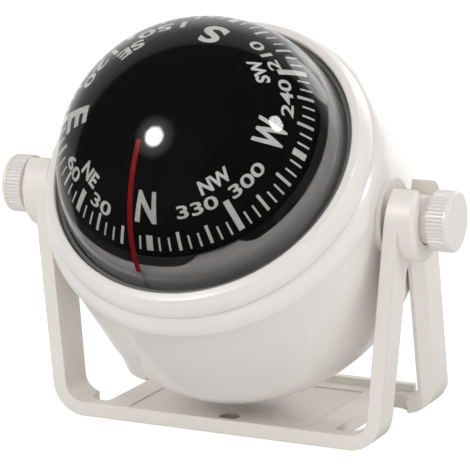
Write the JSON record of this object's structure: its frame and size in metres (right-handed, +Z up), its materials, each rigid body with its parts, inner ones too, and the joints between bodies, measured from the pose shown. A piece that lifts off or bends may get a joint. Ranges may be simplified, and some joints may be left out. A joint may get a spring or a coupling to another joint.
{
  "type": "dashboard compass",
  "caption": "Ball compass for a car dashboard: liquid-filled clear dome over a domed card in a white housing that tilts in a screw-down bracket with hand knobs",
  "frame": {"origin": "on the bracket's underside, straight below the middle of the tilt axis", "axes": "+Z up, +X along the tilt axis, -Y towards the side that the dial faces"},
  "size_m": [0.084, 0.0704, 0.0726],
  "materials": {
    "bracket_plastic": "warm off-white moulded plastic, slightly glossy",
    "housing_plastic": "warm off-white moulded plastic, slightly glossy",
    "knob_plastic": "warm off-white moulded plastic, slightly glossy",
    "dome_clear": "clear polished acrylic",
    "gasket_rubber": "black, matte",
    "capsule_plastic": "black moulded plastic",
    "liner_grey": "dark grey moulded plastic",
    "lubber_red": "deep red",
    "card_black": "black with pale printed letters and ticks",
    "float_plastic": "black foamed plastic",
    "magnet_metal": "dull grey",
    "pivot_steel": "polished steel",
    "jewel_brass": "turned",
    "insert_brass": "turned, threaded inside",
    "fastener_steel": "zinc plated"
  },
  "bodies": {
    "bracket": {"mounting_bracket": "bracket_plastic"},
    "housing": {"housing_bowl": "housing_plastic", "bezel_ring": "housing_plastic", "bottom_cover": "housing_plastic", "cover_screws": "fastener_steel", "lens_dome": "dome_clear", "dome_gasket": "gasket_rubber", "capsule_seal": "gasket_rubber", "capsule_bowl": "capsule_plastic", "liner_ring": "liner_grey", "lubber_line": "lubber_red", "pivot_pin": "pivot_steel", "expansion_diaphragm": "gasket_rubber", "diaphragm_ring": "capsule_plastic", "ring_screws": "fastener_steel", "filler_plug": "capsule_plastic", "insert_right": "insert_brass", "insert_left": "insert_brass"},
    "card": {"compass_card": "card_black", "card_float": "float_plastic", "card_magnets": "magnet_metal", "jewel_cup": "jewel_brass"},
    "stud_right": {"knob_stud_right": "fastener_steel"},
    "knob_right": {"clamp_knob_right": "knob_plastic"},
    "stud_left": {"knob_stud_left": "fastener_steel"},
    "knob_left": {"clamp_knob_left": "knob_plastic"}
  },
  "joints": [
    {"name": "tilt", "type": "hinge", "parent": "bracket", "child": "housing", "pos_m": [0, 0, 0.03965], "axis": [1, 0, 0], "range_deg": [-48.36, 131.64]},
    {"name": "card_turn", "type": "hinge", "parent": "housing", "child": "card", "pos_m": [0, -0.00852, 0.04722], "axis": [0, -0.7473, 0.6644], "continuous": true},
    {"name": "stud_travel_right", "type": "slide", "parent": "housing", "child": "stud_right", "axis": [1, 0, 0], "range_m": [-0.0014, 0.0021]},
    {"name": "knob_turn_right", "type": "hinge", "parent": "stud_right", "child": "knob_right", "pos_m": [0.04, 0, 0.03965], "axis": [1, 0, 0], "range_deg": [-721, 1081]},
    {"name": "stud_travel_left", "type": "slide", "parent": "housing", "child": "stud_left", "axis": [-1, 0, 0], "range_m": [-0.0014, 0.0021]},
    {"name": "knob_turn_left", "type": "hinge", "parent": "stud_left", "child": "knob_left", "pos_m": [-0.04, 0, 0.03965], "axis": [-1, 0, 0], "range_deg": [-721, 1081]}
  ],
  "couplings": [
    {"joint": "knob_turn_right", "follows": "stud_travel_right", "rad_per_m": 8976},
    {"joint": "knob_turn_left", "follows": "stud_travel_left", "rad_per_m": 8976}
  ]
}
